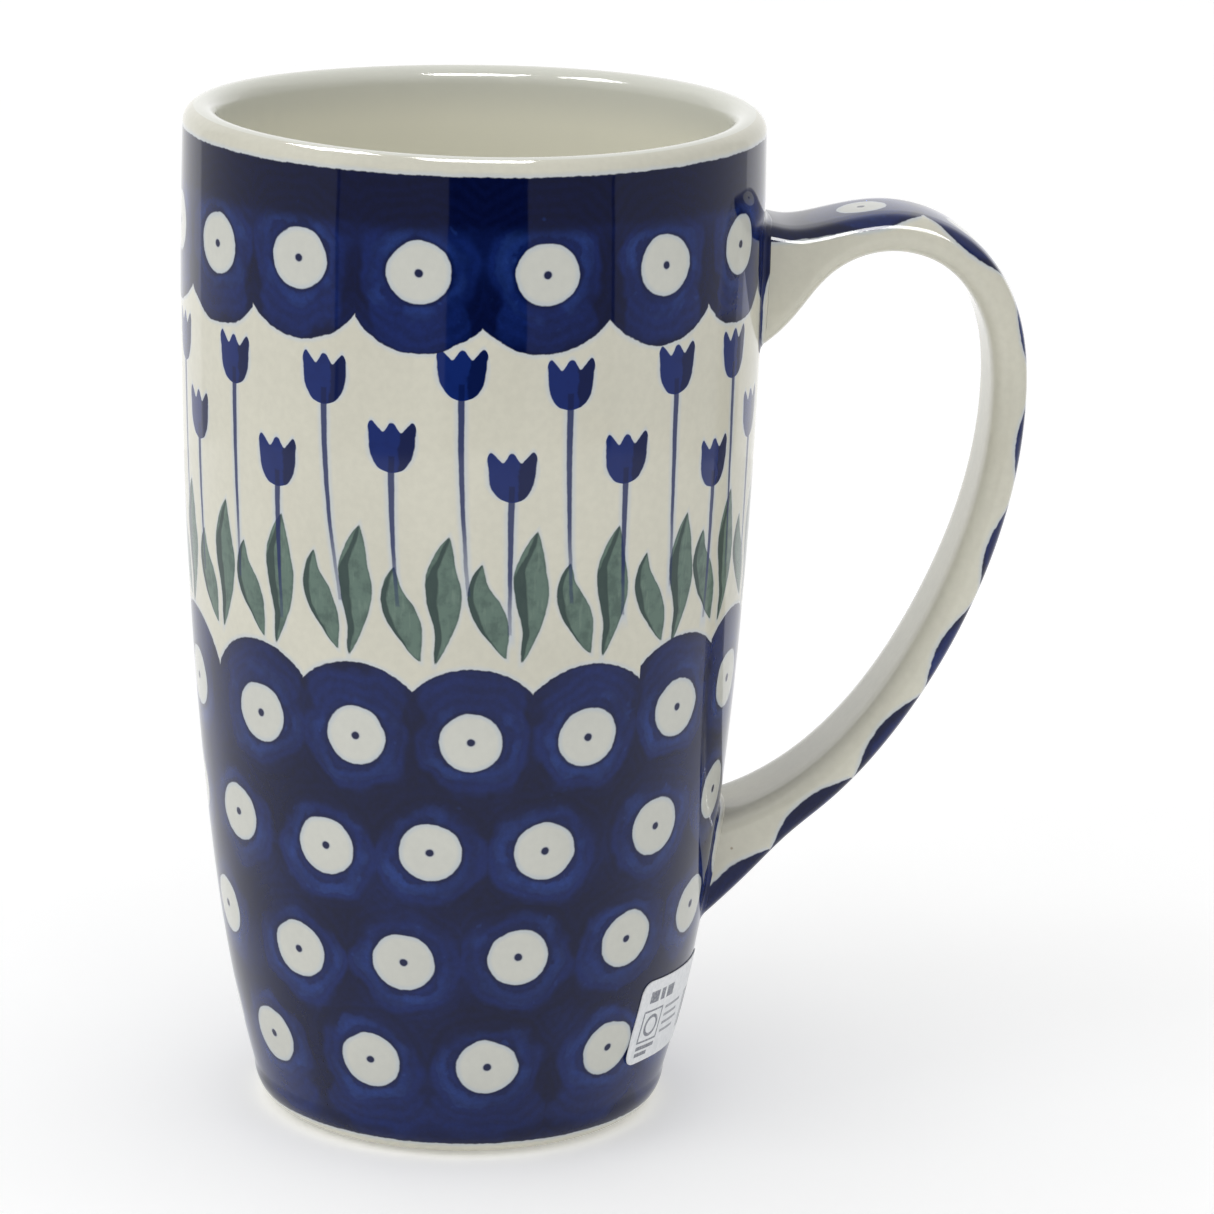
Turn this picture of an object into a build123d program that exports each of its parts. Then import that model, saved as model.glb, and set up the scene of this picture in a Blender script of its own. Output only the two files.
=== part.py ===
from build123d import *
import math
import os

# Polish stoneware mug: a cast cup and a cast strap handle, luted together with
# slip, with a small paper label near the foot. Millimetres. The cup's axis is Z,
# it stands on Z = 0, and the handle is on the +X side.

os.makedirs("parts", exist_ok=True)

# Cup, outside: the foot, the heel above it, and the flank up to the lip
cup_height = 145.0
foot_edge_radius = 26.0
heel_bulge = (28.5, 2.1)
heel_radius = 30.0
heel_height = 5.0
flank = [(33.5, 20.0), (37.0, 45.0), (39.8, 82.0), (40.8, 112.0)]
rim_radius = 40.7

# Cup, inside and underneath
wall = 5.0
lip_start_height = cup_height - wall / 2
floor_height = 8.5
floor_flat_radius = 15.0
floor_corner = (27.5, 19.0)
foot_ring_inner_radius = 21.0
recess_radius = 19.0
recess_height = 2.0

# Handle: cross-sections along the strap, from the lower root up to the upper one.
# Each is the middle's X and Z, the heading in degrees, the thickness and the width.
strap_corner_radius = 2.35
strap_sections = [
    (28.0, 33.2, 20, 17.0, 17.4),
    (39.1, 39.4, 33, 9.4, 17.0),
    (44.2, 42.9, 38, 6.8, 16.6),
    (50.0, 47.2, 43, 5.8, 16.2),
    (59.7, 57.7, 54, 5.2, 15.6),
    (68.7, 73.3, 66, 5.1, 15.2),
    (74.3, 89.5, 77, 4.9, 15.0),
    (76.2, 105.0, 91, 4.8, 15.0),
    (74.2, 117.6, 112, 4.9, 15.2),
    (68.0, 125.7, 140, 5.1, 15.5),
    (59.0, 128.7, 178, 5.3, 16.0),
    (51.0, 127.1, 194, 6.2, 16.5),
    (46.3, 124.6, 194, 9.4, 16.8),
    (42.4, 122.1, 184, 15.0, 17.0),
    (36.0, 120.3, 180, 20.4, 17.4),
]

# Slip that joins the handle to the cup: a thin bed that spreads past each root
slip_thickness = 0.8
slip_width = 19.0
slip_corner_radius = 4.0
upper_slip_middle = 120.9
upper_slip_height = 20.4
lower_slip_middle = 35.2
lower_slip_height = 19.4

# Paper label, placed by its turn from -Y towards +X around the cup
label_length = 22.0
label_height = 12.8
label_corner_radius = 1.8
label_thickness = 0.2
label_turn = 64.0
label_middle_height = 16.9
label_tilt = -3.0

# How far the cutting blocks for the slip and the label reach from the axis
reach = 60.0


def cup_outline(growth):
    """The cup's outside from foot edge to lip, grown outwards, and closed on its axis."""
    foot_edge = (foot_edge_radius + growth, 0)
    heel = (heel_radius + growth, heel_height)
    lip = (rim_radius + growth, lip_start_height)
    ThreePointArc(foot_edge, (heel_bulge[0] + growth, heel_bulge[1]), heel)
    Spline(heel, *[(radius + growth, height) for radius, height in flank], lip)
    Polyline(lip, (lip[0], cup_height), (0, cup_height), (0, 0), foot_edge)


# The space the cup fills, alone and with a skin of slip or paper around it.
# The other pieces are cut with these, so that they fit its wall.
with BuildPart() as cup_space:
    with BuildSketch(Plane.XZ):
        with BuildLine():
            cup_outline(0)
        make_face()
    revolve(axis=Axis.Z)

with BuildPart() as cup_and_slip_space:
    with BuildSketch(Plane.XZ):
        with BuildLine():
            cup_outline(slip_thickness)
        make_face()
    revolve(axis=Axis.Z)

with BuildPart() as cup_and_label_space:
    with BuildSketch(Plane.XZ):
        with BuildLine():
            cup_outline(label_thickness)
        make_face()
    revolve(axis=Axis.Z)

# Cup: one turned wall with a rounded lip, a rounded floor and a foot ring
with BuildPart() as mug_body:
    with BuildSketch(Plane.XZ):
        with BuildLine():
            Polyline(
                (0, floor_height),
                (0, recess_height),
                (recess_radius, recess_height),
                (foot_ring_inner_radius, 0),
                (foot_edge_radius, 0),
            )
            ThreePointArc((foot_edge_radius, 0), heel_bulge, (heel_radius, heel_height))
            Spline((heel_radius, heel_height), *flank, (rim_radius, lip_start_height))
            ThreePointArc(
                (rim_radius, lip_start_height),
                (rim_radius - wall / 2, cup_height),
                (rim_radius - wall, lip_start_height),
            )
            Spline(
                (rim_radius - wall, lip_start_height),
                *[(radius - wall, height) for radius, height in reversed(flank[1:])],
                floor_corner,
                (floor_flat_radius, floor_height),
                tangents=[(0, -1), (-1, 0)],
            )
            Line((floor_flat_radius, floor_height), (0, floor_height))
        make_face()
    revolve(axis=Axis.Z)
mug_body.part.label = "mug_body"
export_step(mug_body.part, "parts/mug_body.step")

# Handle: a strap lofted along its bow, cut to the bed of slip at both roots
with BuildPart() as handle:
    for middle_x, middle_z, heading, thickness, width in strap_sections:
        along = (math.cos(math.radians(heading)), 0, math.sin(math.radians(heading)))
        section_plane = Plane(origin=(middle_x, 0, middle_z), x_dir=(0, 1, 0), z_dir=along)
        with BuildSketch(section_plane):
            RectangleRounded(width, thickness, strap_corner_radius)
    loft()
    add(cup_and_slip_space.part, mode=Mode.SUBTRACT)
handle.part.label = "handle"
export_step(handle.part, "parts/handle.step")

# Upper slip joint: the bed between the cup and the handle's upper root
with BuildPart() as upper_slip_joint:
    with BuildSketch(Plane.YZ):
        with Locations((0, upper_slip_middle)):
            RectangleRounded(slip_width, upper_slip_height, slip_corner_radius)
    extrude(amount=reach)
    add(cup_and_slip_space.part, mode=Mode.INTERSECT)
    add(cup_space.part, mode=Mode.SUBTRACT)
upper_slip_joint.part.label = "upper_slip_joint"
export_step(upper_slip_joint.part, "parts/upper_slip_joint.step")

# Lower slip joint: the bed between the cup and the handle's lower root
with BuildPart() as lower_slip_joint:
    with BuildSketch(Plane.YZ):
        with Locations((0, lower_slip_middle)):
            RectangleRounded(slip_width, lower_slip_height, slip_corner_radius)
    extrude(amount=reach)
    add(cup_and_slip_space.part, mode=Mode.INTERSECT)
    add(cup_space.part, mode=Mode.SUBTRACT)
lower_slip_joint.part.label = "lower_slip_joint"
export_step(lower_slip_joint.part, "parts/lower_slip_joint.step")

# Paper label: a rounded rectangle that follows the cup's curve near the foot
with BuildPart() as paper_label:
    turn = math.radians(label_turn)
    outwards = (math.sin(turn), -math.cos(turn), 0)
    sideways = (math.cos(turn), math.sin(turn), 0)
    label_plane = Plane(origin=(0, 0, label_middle_height), x_dir=sideways, z_dir=outwards)
    with BuildSketch(label_plane):
        RectangleRounded(label_length, label_height, label_corner_radius, rotation=label_tilt)
    extrude(amount=reach)
    add(cup_and_label_space.part, mode=Mode.INTERSECT)
    add(cup_space.part, mode=Mode.SUBTRACT)
paper_label.part.label = "paper_label"
export_step(paper_label.part, "parts/paper_label.step")
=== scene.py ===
"""Polish stoneware mug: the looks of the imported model, laid out as a Blender add-on.

Each operator makes a piece, a pair of pieces or the stage. Sizes are in metres, apart from
the painted pattern, the strap and the label, which are laid out in millimetres and degrees.
"""

import math

import bpy
import numpy as np
from bpy.props import FloatProperty, FloatVectorProperty, IntProperty, PointerProperty
from mathutils import Matrix, Vector


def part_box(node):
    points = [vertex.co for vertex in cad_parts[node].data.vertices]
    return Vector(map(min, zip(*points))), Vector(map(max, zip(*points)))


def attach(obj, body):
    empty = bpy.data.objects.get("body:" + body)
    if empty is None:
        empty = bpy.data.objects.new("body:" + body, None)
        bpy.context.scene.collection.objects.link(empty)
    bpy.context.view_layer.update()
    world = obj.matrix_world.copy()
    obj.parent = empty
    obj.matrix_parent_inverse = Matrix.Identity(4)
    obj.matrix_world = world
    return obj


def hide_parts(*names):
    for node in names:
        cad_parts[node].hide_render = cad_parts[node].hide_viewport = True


bl_info = {
    "name": "Polish stoneware mug",
    "version": (1, 0, 0),
    "blender": (4, 5, 0),
    "location": "3D View > Sidebar > Mug",
    "description": "Builds a hand-painted stoneware mug around its packed model",
    "category": "Object",
}

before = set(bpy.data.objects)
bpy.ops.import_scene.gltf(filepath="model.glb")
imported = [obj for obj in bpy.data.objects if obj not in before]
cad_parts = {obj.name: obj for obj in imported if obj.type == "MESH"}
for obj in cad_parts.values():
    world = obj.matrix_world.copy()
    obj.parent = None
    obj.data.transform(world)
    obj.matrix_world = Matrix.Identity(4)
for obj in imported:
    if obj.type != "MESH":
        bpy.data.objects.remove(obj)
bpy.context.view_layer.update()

MM = 0.001
CUP_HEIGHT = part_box("mug_body")[1].z
RIM_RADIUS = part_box("mug_body")[1].y

# The painter's layout: degrees around the cup from its front (-Y) towards the
# handle (+X), and millimetres above the table. Only the strokes on the front
# are placed one by one; the rest are spread evenly around the back.

LIP_LINE = 142.5
FOOT_LINE = 2.1
DOT_RADIUS = 4.25
PIP_RADIUS = 0.56

# Each row of dots: how many go round, then the turn and height of the front ones.
DOT_ROWS = {
    "lip": (15, [(-61.8, 129.4), (-38.7, 129.9), (-14.1, 129.4), (10.2, 129.4), (35.7, 129.4),
                 (60.2, 129.8)]),
    "shoulder": (15, [(-79.8, 64.8), (-50.7, 64.4), (-26.7, 64.0), (-2.7, 64.0), (22.0, 64.0), (45.3, 65.8),
                      (67.5, 66.4)]),
    "upper": (14, [(-61.5, 48.0), (-34.5, 46.9), (-11.0, 47.7), (13.7, 47.7), (42.0, 48.6), (66.5, 50.0)]),
    "middle": (14, [(-74.0, 31.7), (-44.1, 30.1), (-17.0, 30.8), (9.0, 31.8), (36.8, 32.2), (62.0, 33.5)]),
    "foot": (12, [(-58.5, 14.5), (-26.5, 14.8), (3.0, 14.7), (36.2, 15.3)]),
}
# The dabs that scallop the two fields: where their middles lie, and how far they reach
LIP_DABS = (129.4, 10.9)
SHOULDER_DABS = (64.4, 10.6)

# Tulips: how many go round, then turn, height of the cup's bottom, and how far
# the stem's foot leans, in degrees.
TALL_TULIPS = (15, [(-80.0, 110.5, 0.5), (-56.0, 110.6, 0.6), (-32.9, 110.4, 3.4), (-5.7, 112.2, 2.0),
                    (15.3, 110.7, 1.6), (39.3, 111.2, 1.0), (58.8, 111.2, 1.5)])
SHORT_TULIPS = (15, [(-71.0, 100.6, 0.8), (-44.0, 97.7, 0.4), (-19.0, 101.8, 1.4), (4.2, 98.1, 0.3),
                     (27.6, 99.8, 0.8), (52.2, 96.6, -0.2), (69.8, 101.2, 0.8)])

# Leaves: how many go round, then the turn and height of each leaf's base, and
# how tall the leaf is.
TALL_LEAVES = (21, [(-62.3, 75.2, 18.4), (-45.3, 75.4, 18.6), (-27.8, 75.7, 18.4), (-10.0, 75.3, 17.9),
                    (7.2, 75.6, 18.4), (24.3, 75.7, 18.2), (42.0, 76.0, 18.0), (58.2, 76.6, 18.6)])
SHORT_LEAVES = (21, [(-64.8, 75.3, 12.6), (-48.8, 75.9, 12.9), (-30.3, 76.3, 13.4), (-13.2, 75.5, 13.1),
                     (3.9, 76.2, 13.2), (21.5, 76.2, 13.0), (38.7, 76.4, 13.0), (54.8, 77.4, 13.4),
                     (71.7, 78.0, 12.6)])

# The strap handle: the cross-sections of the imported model, lower root first.
# Each is the middle's X and Z, the thickness, the width and the heading in degrees;
# sizes are in millimetres.
STRAP_SECTIONS = [
    (28.0, 33.2, 17.0, 17.4, 20),
    (39.1, 39.4, 9.4, 17.0, 33),
    (44.2, 42.9, 6.8, 16.6, 38),
    (50.0, 47.2, 5.8, 16.2, 43),
    (59.7, 57.7, 5.2, 15.6, 54),
    (68.7, 73.3, 5.1, 15.2, 66),
    (74.3, 89.5, 4.9, 15.0, 77),
    (76.2, 105.0, 4.8, 15.0, 91),
    (74.2, 117.6, 4.9, 15.2, 112),
    (68.0, 125.7, 5.1, 15.5, 140),
    (59.0, 128.7, 5.3, 16.0, 178),
    (51.0, 127.1, 6.2, 16.5, 194),
    (46.3, 124.6, 9.4, 16.8, 194),
    (42.4, 122.1, 15.0, 17.0, 184),
    (36.0, 120.3, 20.4, 17.4, 180),
]


# ---------------------------------------------------------------------------
# Settings that a user would change
# ---------------------------------------------------------------------------


class MugCupSettings(bpy.types.PropertyGroup):
    """Sizes of the cup that don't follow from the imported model."""

    wall: FloatProperty(
        name="Wall", description="Thickness of the wall at the lip", default=0.005, unit="LENGTH")
    unevenness: FloatProperty(
        name="Unevenness", description="How far the thrown wall strays from round", default=0.00016,
        unit="LENGTH")
    segments: IntProperty(
        name="Segments", description="Faces around the cup", default=240, min=48)
    bead: FloatProperty(
        name="Joint bead", description="Radius of the slip bead around the handle's roots",
        default=0.0011, unit="LENGTH")


def colour_setting(name, description, default):
    """A colour that a user can change."""
    return FloatVectorProperty(name=name, description=description, default=default, subtype="COLOR", size=3)


class MugPaintSettings(bpy.types.PropertyGroup):
    """Colours of the clay and the paints, and the glaze's roughness."""

    cream: colour_setting("Cream", "Clay under clear glaze", (0.665, 0.650, 0.550))
    cobalt_deep: colour_setting("Deep cobalt", "Thick cobalt between the dabs", (0.0014, 0.0038, 0.032))
    cobalt: colour_setting("Cobalt", "Cobalt of an even stroke", (0.0045, 0.0145, 0.100))
    cobalt_bright: colour_setting("Bright cobalt", "Thin cobalt around the dots", (0.0135, 0.039, 0.185))
    flower: colour_setting("Flower blue", "Blue of the tulips", (0.006, 0.020, 0.135))
    leaf: colour_setting("Leaf green", "Green of the leaves", (0.118, 0.182, 0.150))
    leaf_deep: colour_setting("Deep leaf green", "Green at the thick edge of a leaf", (0.026, 0.050, 0.048))
    gloss: FloatProperty(
        name="Glaze roughness", description="Roughness of the clear glaze", default=0.055, min=0, max=1)


class MugStageSettings(bpy.types.PropertyGroup):
    """The camera, the floor and the light."""

    camera_distance: FloatProperty(
        name="Camera distance", description="From the cup's axis, along the floor", default=0.7051,
        unit="LENGTH")
    camera_height: FloatProperty(
        name="Camera height", description="Above the floor", default=0.2646, unit="LENGTH")
    camera_turn: FloatProperty(
        name="Camera turn", description="How far round from the front the camera stands",
        default=math.radians(4.0), subtype="ANGLE")
    camera_aim: FloatProperty(
        name="Camera aim", description="How far the camera looks past the axis, towards the handle",
        default=math.radians(1.63), subtype="ANGLE")
    camera_pitch: FloatProperty(
        name="Camera pitch", description="How far the camera looks down", default=math.radians(15.19),
        subtype="ANGLE")
    camera_roll: FloatProperty(
        name="Camera roll", description="Turn about its line of sight", default=math.radians(1.42),
        subtype="ANGLE")
    lens: FloatProperty(
        name="Lens", description="Focal length on a 36 mm sensor, in millimetres", default=151.3)
    tent_light: FloatProperty(
        name="Tent light", description="Brightness of the white tent", default=1.0, min=0)
    lamp_power: FloatProperty(
        name="Lamp power", description="Power that the lamps share", default=2.0, unit="POWER")


# ---------------------------------------------------------------------------
# Shapes
# ---------------------------------------------------------------------------


def smooth_curve(knots, steps):
    """A natural cubic spline through the knots, each a row of numbers, with steps per span."""
    knots = np.array(knots, float)
    chords = np.linalg.norm(np.diff(knots[:, :2], axis=0), axis=1)
    count = len(knots)
    matrix = np.eye(count)
    right = np.zeros_like(knots)
    for i in range(1, count - 1):
        matrix[i, i - 1:i + 2] = chords[i - 1], 2 * (chords[i - 1] + chords[i]), chords[i]
        right[i] = 6 * ((knots[i + 1] - knots[i]) / chords[i] - (knots[i] - knots[i - 1]) / chords[i - 1])
    bend = np.linalg.solve(matrix, right)
    line = []
    for i in range(count - 1):
        for share in np.linspace(0, 1, steps, endpoint=False):
            a, b = 1 - share, share
            curve = (a ** 3 - a) * bend[i] + (b ** 3 - b) * bend[i + 1]
            line.append(a * knots[i] + b * knots[i + 1] + curve * chords[i] ** 2 / 6)
    line.append(knots[-1])
    return np.array(line)


# Heights up the wall where its radius is measured, as shares of the cup's height
WALL_SHARES = (0.0345, 0.075, 0.138, 0.22, 0.31, 0.43, 0.565, 0.69, 0.80, 0.90, 0.983)


def wall_knots():
    """Radius and height of the cup's outside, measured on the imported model, heel to lip."""
    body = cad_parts["mug_body"]
    knots = []
    for share in WALL_SHARES:
        height = share * CUP_HEIGHT
        _, place, _, _ = body.ray_cast(Vector((-1, 0, height)), Vector((1, 0, 0)))
        knots.append((math.hypot(place.x, place.y), height))
    return knots


WALL = smooth_curve(wall_knots(), 12)


def wall_radius(height):
    """Outer radius of the cup at a height."""
    return np.interp(height, WALL[:, 1], WALL[:, 0])


def arc(centre, radii, start, end, steps):
    """Points on an ellipse from start to end, in degrees."""
    turns = np.radians(np.linspace(start, end, steps))
    return [(centre[0] + radii[0] * math.cos(t), centre[1] + radii[1] * math.sin(t)) for t in turns]


def new_piece(name, verts, faces, slot, node, *paints):
    """A smooth, painted mesh object on the root body, standing for a CAD node."""
    mesh = bpy.data.meshes.new(name)
    mesh.from_pydata([tuple(v) for v in verts], [], faces)
    mesh.polygons.foreach_set("use_smooth", [True] * len(mesh.polygons))
    mesh.update()
    piece = bpy.data.objects.new(name, mesh)
    bpy.context.scene.collection.objects.link(piece)
    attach(piece, "root")
    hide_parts(node)
    for paint in paints:
        mesh.materials.append(paint)
    return piece


def lay_runs(piece, name, places):
    """A UV map from one place for each vertex."""
    layer = piece.data.uv_layers.new(name=name)
    for loop in piece.data.loops:
        layer.data[loop.index].uv = places[loop.vertex_index]


def ring_faces(rings, around):
    """Quads between rings of the same number of points."""
    faces = []
    for i in range(rings - 1):
        for j in range(around):
            k = (j + 1) % around
            faces.append((i * around + j, i * around + k, (i + 1) * around + k, (i + 1) * around + j))
    return faces


def capped_faces(rings, around):
    """Quads between the rings, then a face that closes the first ring and one that closes the last."""
    first = range(around)
    last = range((rings - 1) * around, rings * around)
    return ring_faces(rings, around) + [tuple(first)[::-1], tuple(last)]


# In metres: the inside's turn from floor to wall as (radius, rise above the floor), how far the
# heel rounds inwards, and the foot's ring and recess as (radius, height)
FLOOR_TURN = [(0.015, 0), (0.0222, 0.0024), (0.0275, 0.0105)]
HEEL_ROUNDING = 0.004
FOOT = [(0.0235, 0), (0.0214, 0), (0.0208, 0.0002), (0.0192, 0.0017), (0.0186, 0.0020), (0.012, 0.0020),
        (0.0005, 0.0020)]

# How many of the lip's last points, and of the heel's first ones, the paint covers
PAINTED_LIP = 10
PAINTED_HEEL = 7


def cup_profile(wall):
    """The cup's half section in (radius, height), from the floor's middle round to the recess's,
    with the number of its first painted point and of its first bare foot point."""
    lip_height = CUP_HEIGHT - wall / 2
    rim = float(wall_radius(lip_height))
    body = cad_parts["mug_body"]
    _, floor_place, _, _ = body.ray_cast(Vector((0, 0, CUP_HEIGHT * 2)), Vector((0, 0, -1)))
    floor = floor_place.z
    inner_knots = [(radius, floor + rise) for radius, rise in FLOOR_TURN]
    for height in np.linspace(0.034, lip_height, 7):
        inner_knots.append((float(wall_radius(height)) - wall, height))
    inside = smooth_curve(inner_knots, 10)
    middle = [(radius, floor) for radius in np.linspace(0.0005, 0.0135, 8)]
    lip = arc((rim - wall / 2, lip_height), (wall / 2, wall / 2), 180, 0, 25)[1:]
    outside = WALL[::-1][1:]
    heel_radius, heel_height = WALL[0]
    foot_edge = heel_radius - HEEL_ROUNDING
    heel = arc((foot_edge, heel_height), (heel_radius - foot_edge, heel_height), 0, -90, 12)[1:]
    foot = [(foot_edge - 1.0 * MM, 0)] + FOOT
    line = middle + [tuple(p) for p in inside] + lip
    first_outer = len(line) - PAINTED_LIP
    line = line + [tuple(p) for p in outside]
    first_foot = len(line) + PAINTED_HEEL
    return line + heel + foot, first_outer, first_foot


def hand_unevenness(radius, height, turns, amount):
    """How far a hand-finished wall strays from round, bigger up the wall."""
    sway = np.sin(2 * turns + 0.7) + 0.5 * np.sin(3 * turns + 2.1 + height * 25)
    ripple = 0.35 * np.sin(5 * turns + height * 60)
    return amount * (sway + ripple) * min(1.0, radius / RIM_RADIUS) * (height / CUP_HEIGHT)


def build_cup(settings, paints):
    """The cup as one closed turned mesh, with paints for its inside, its outside and its foot."""
    line, first_outer, first_foot = cup_profile(settings.wall)
    around = settings.segments
    turns = np.linspace(0, 2 * math.pi, around, endpoint=False)
    verts = []
    for radius, height in line:
        radii = radius + hand_unevenness(radius, height, turns, settings.unevenness)
        dip = 0.25 * MM * (height / CUP_HEIGHT) ** 6 * np.sin(turns * 2 + 1.1)
        verts.extend(zip(radii * np.cos(turns), radii * np.sin(turns), height + dip))
    faces = [face[::-1] for face in capped_faces(len(line), around)]
    cup = new_piece("cup", verts, faces, "painted_glaze", "mug_body", *paints)
    rows = np.repeat(np.arange(len(line) - 1), around)
    slots = np.where(rows >= first_foot, 2, np.where(rows >= first_outer, 1, 0))
    slots = np.append(slots, [0, 2])
    cup.data.polygons.foreach_set("material_index", slots.astype(np.int32))


# The strap's outline, in millimetres: the radius of its corners and how far its outer and inner
# faces bulge; and how many points lie along each part of it
STRAP_CORNER = 2.35
STRAP_BULGES = (0.35, 0.15)
STRAP_STEPS = 7


def strap_outline(thickness, width):
    """A rounded rectangle across the strap, from the middle of its outer face, as (outwards, sideways),
    with the run around it to each point."""
    steps = STRAP_STEPS
    corner = min(STRAP_CORNER, thickness / 2 - 0.1)
    half_out, half_side = thickness / 2, width / 2
    crown, belly = STRAP_BULGES
    points = []
    for side in np.linspace(0, half_side - corner, steps, endpoint=False):
        points.append((half_out + crown * (1 - (side / half_side) ** 2), side))
    for turn in np.radians(np.linspace(90, 0, steps)):
        points.append((half_out - corner + corner * math.sin(turn) + crown * 0.25 * math.sin(turn),
                       half_side - corner + corner * math.cos(turn)))
    flat = thickness - 2 * corner
    points += [(half_out - corner - flat * share, half_side) for share in (0.33, 0.66)]
    for turn in np.radians(np.linspace(0, -90, steps)):
        points.append((-half_out + corner + corner * math.sin(turn),
                       half_side - corner + corner * math.cos(turn)))
    for side in np.linspace(half_side - corner, 0, steps, endpoint=False)[1:]:
        points.append((-half_out - belly * (1 - (side / half_side) ** 2), side))
    points.append((-half_out - belly, 0))
    mirrored = [(out, -side) for out, side in points[-2:0:-1]]
    points = np.array(points + mirrored)
    runs = np.concatenate([[0], np.cumsum(np.linalg.norm(np.diff(points, axis=0), axis=1))])
    return points, runs


def strap_rings():
    """Rings of points along the strap in millimetres, with the run along and across it at each."""
    line = smooth_curve(STRAP_SECTIONS, 14)
    rings, across, outer = [], [], []
    for x, z, thickness, width, heading in line:
        out_x, out_z = math.sin(math.radians(heading)), -math.cos(math.radians(heading))
        points, runs = strap_outline(thickness, width)
        rings.append([(x + out * out_x, side, z + out * out_z) for out, side in points])
        full = runs[-1] + np.linalg.norm(points[0] - points[-1])
        across.append(np.where(runs > full / 2, runs - full, runs))
        outer.append((x + thickness / 2 * out_x, z + thickness / 2 * out_z))
    steps = np.linalg.norm(np.diff(outer, axis=0), axis=1)
    along = np.concatenate([[0], np.cumsum(steps)])
    return np.array(rings), along, np.array(across)


def build_handle(paint):
    """The strap handle, with its runs along and across kept as a UV map, 100 mm to a unit."""
    rings, along, across = strap_rings()
    count, around = rings.shape[:2]
    verts = rings.reshape(-1, 3) * MM
    faces = capped_faces(count, around)
    handle = new_piece("strap_handle", verts, faces, "handle_glaze", "handle", paint)
    from_wall = along[-1] - along
    layer = handle.data.uv_layers.new(name="strap_runs")
    for polygon in handle.data.polygons:
        places = [divmod(vertex, around) for vertex in polygon.vertices]
        sides = [across[i][j] for i, j in places]
        if max(sides) - min(sides) > 15:
            sides = [abs(side) for side in sides]
        for loop_index, (i, _), side in zip(polygon.loop_indices, places, sides):
            layer.data[loop_index].uv = (from_wall[i] / 100, side / 100 + 0.5)


def build_bead(name, node, at_top, radius, paint):
    """The slip bead around one root: a concave fillet from the strap to the wall."""
    rings, _, _ = strap_rings()
    rings = rings * MM
    if at_top:
        rings = rings[::-1]
    count, around = rings.shape[:2]
    corners, leaves = [], []
    for j in range(around):
        line = rings[:, j]
        gap = np.hypot(line[:, 0], line[:, 1]) - wall_radius(line[:, 2])
        i = next(k for k in range(count) if gap[k] > 0)
        share = gap[i] / (gap[i] - gap[i - 1])
        corners.append(line[i] + (line[i - 1] - line[i]) * share)
        leaves.append(line[min(i + 4, count - 1)] - corners[-1])
    corners, leaves = np.array(corners), np.array(leaves)
    leaves /= np.linalg.norm(leaves, axis=1)[:, None]
    middle = corners.mean(axis=0)
    outward = np.array([middle[0], 0, 0]) / abs(middle[0])
    verts = []
    steps = 9
    for corner, leave in zip(corners, leaves):
        spread = corner - middle
        spread -= outward * (spread @ outward)
        spread /= np.linalg.norm(spread)
        start, end = corner + leave * radius, corner + spread * radius
        end_radius = wall_radius(end[2])
        end[:2] *= end_radius / np.hypot(*end[:2])
        for share in np.linspace(0, 1, steps):
            verts.append((1 - share) ** 2 * start + 2 * share * (1 - share) * corner + share ** 2 * end)
        verts.append(corner - (leave * 0.2 + spread * 0.2 + outward * 0.5) * radius)
    faces = []
    for j in range(around):
        k = (j + 1) % around
        for i in range(steps + 1):
            n = (i + 1) % (steps + 1)
            face = (j * (steps + 1) + i, j * (steps + 1) + n, k * (steps + 1) + n, k * (steps + 1) + i)
            faces.append(face if at_top else face[::-1])
    bead = new_piece(name, verts, faces, "joint_glaze", node, paint)
    heights = corners[:, 2]
    painted = (heights - heights.min()) / (heights.max() - heights.min())
    if not at_top:
        painted = 1 - painted
    lay_runs(bead, "bead_runs",
             [(min(i / (steps - 1), 1.0), side) for side in painted for i in range(steps + 1)])


# ---------------------------------------------------------------------------
# Formulas for the paints, written as shader nodes
# ---------------------------------------------------------------------------


# Clay that blue has bled into: beside a stroke, and around the edge of a reserved dot
PALE_BLEED = (0.52, 0.58, 0.66)
POOLED_BLEED = (0.49, 0.545, 0.60)

# The ink of the pips, and the paler ring that it soaks out into
PIP_INK = (0.010, 0.014, 0.055)
PIP_HALO = (0.30, 0.36, 0.55)


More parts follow.
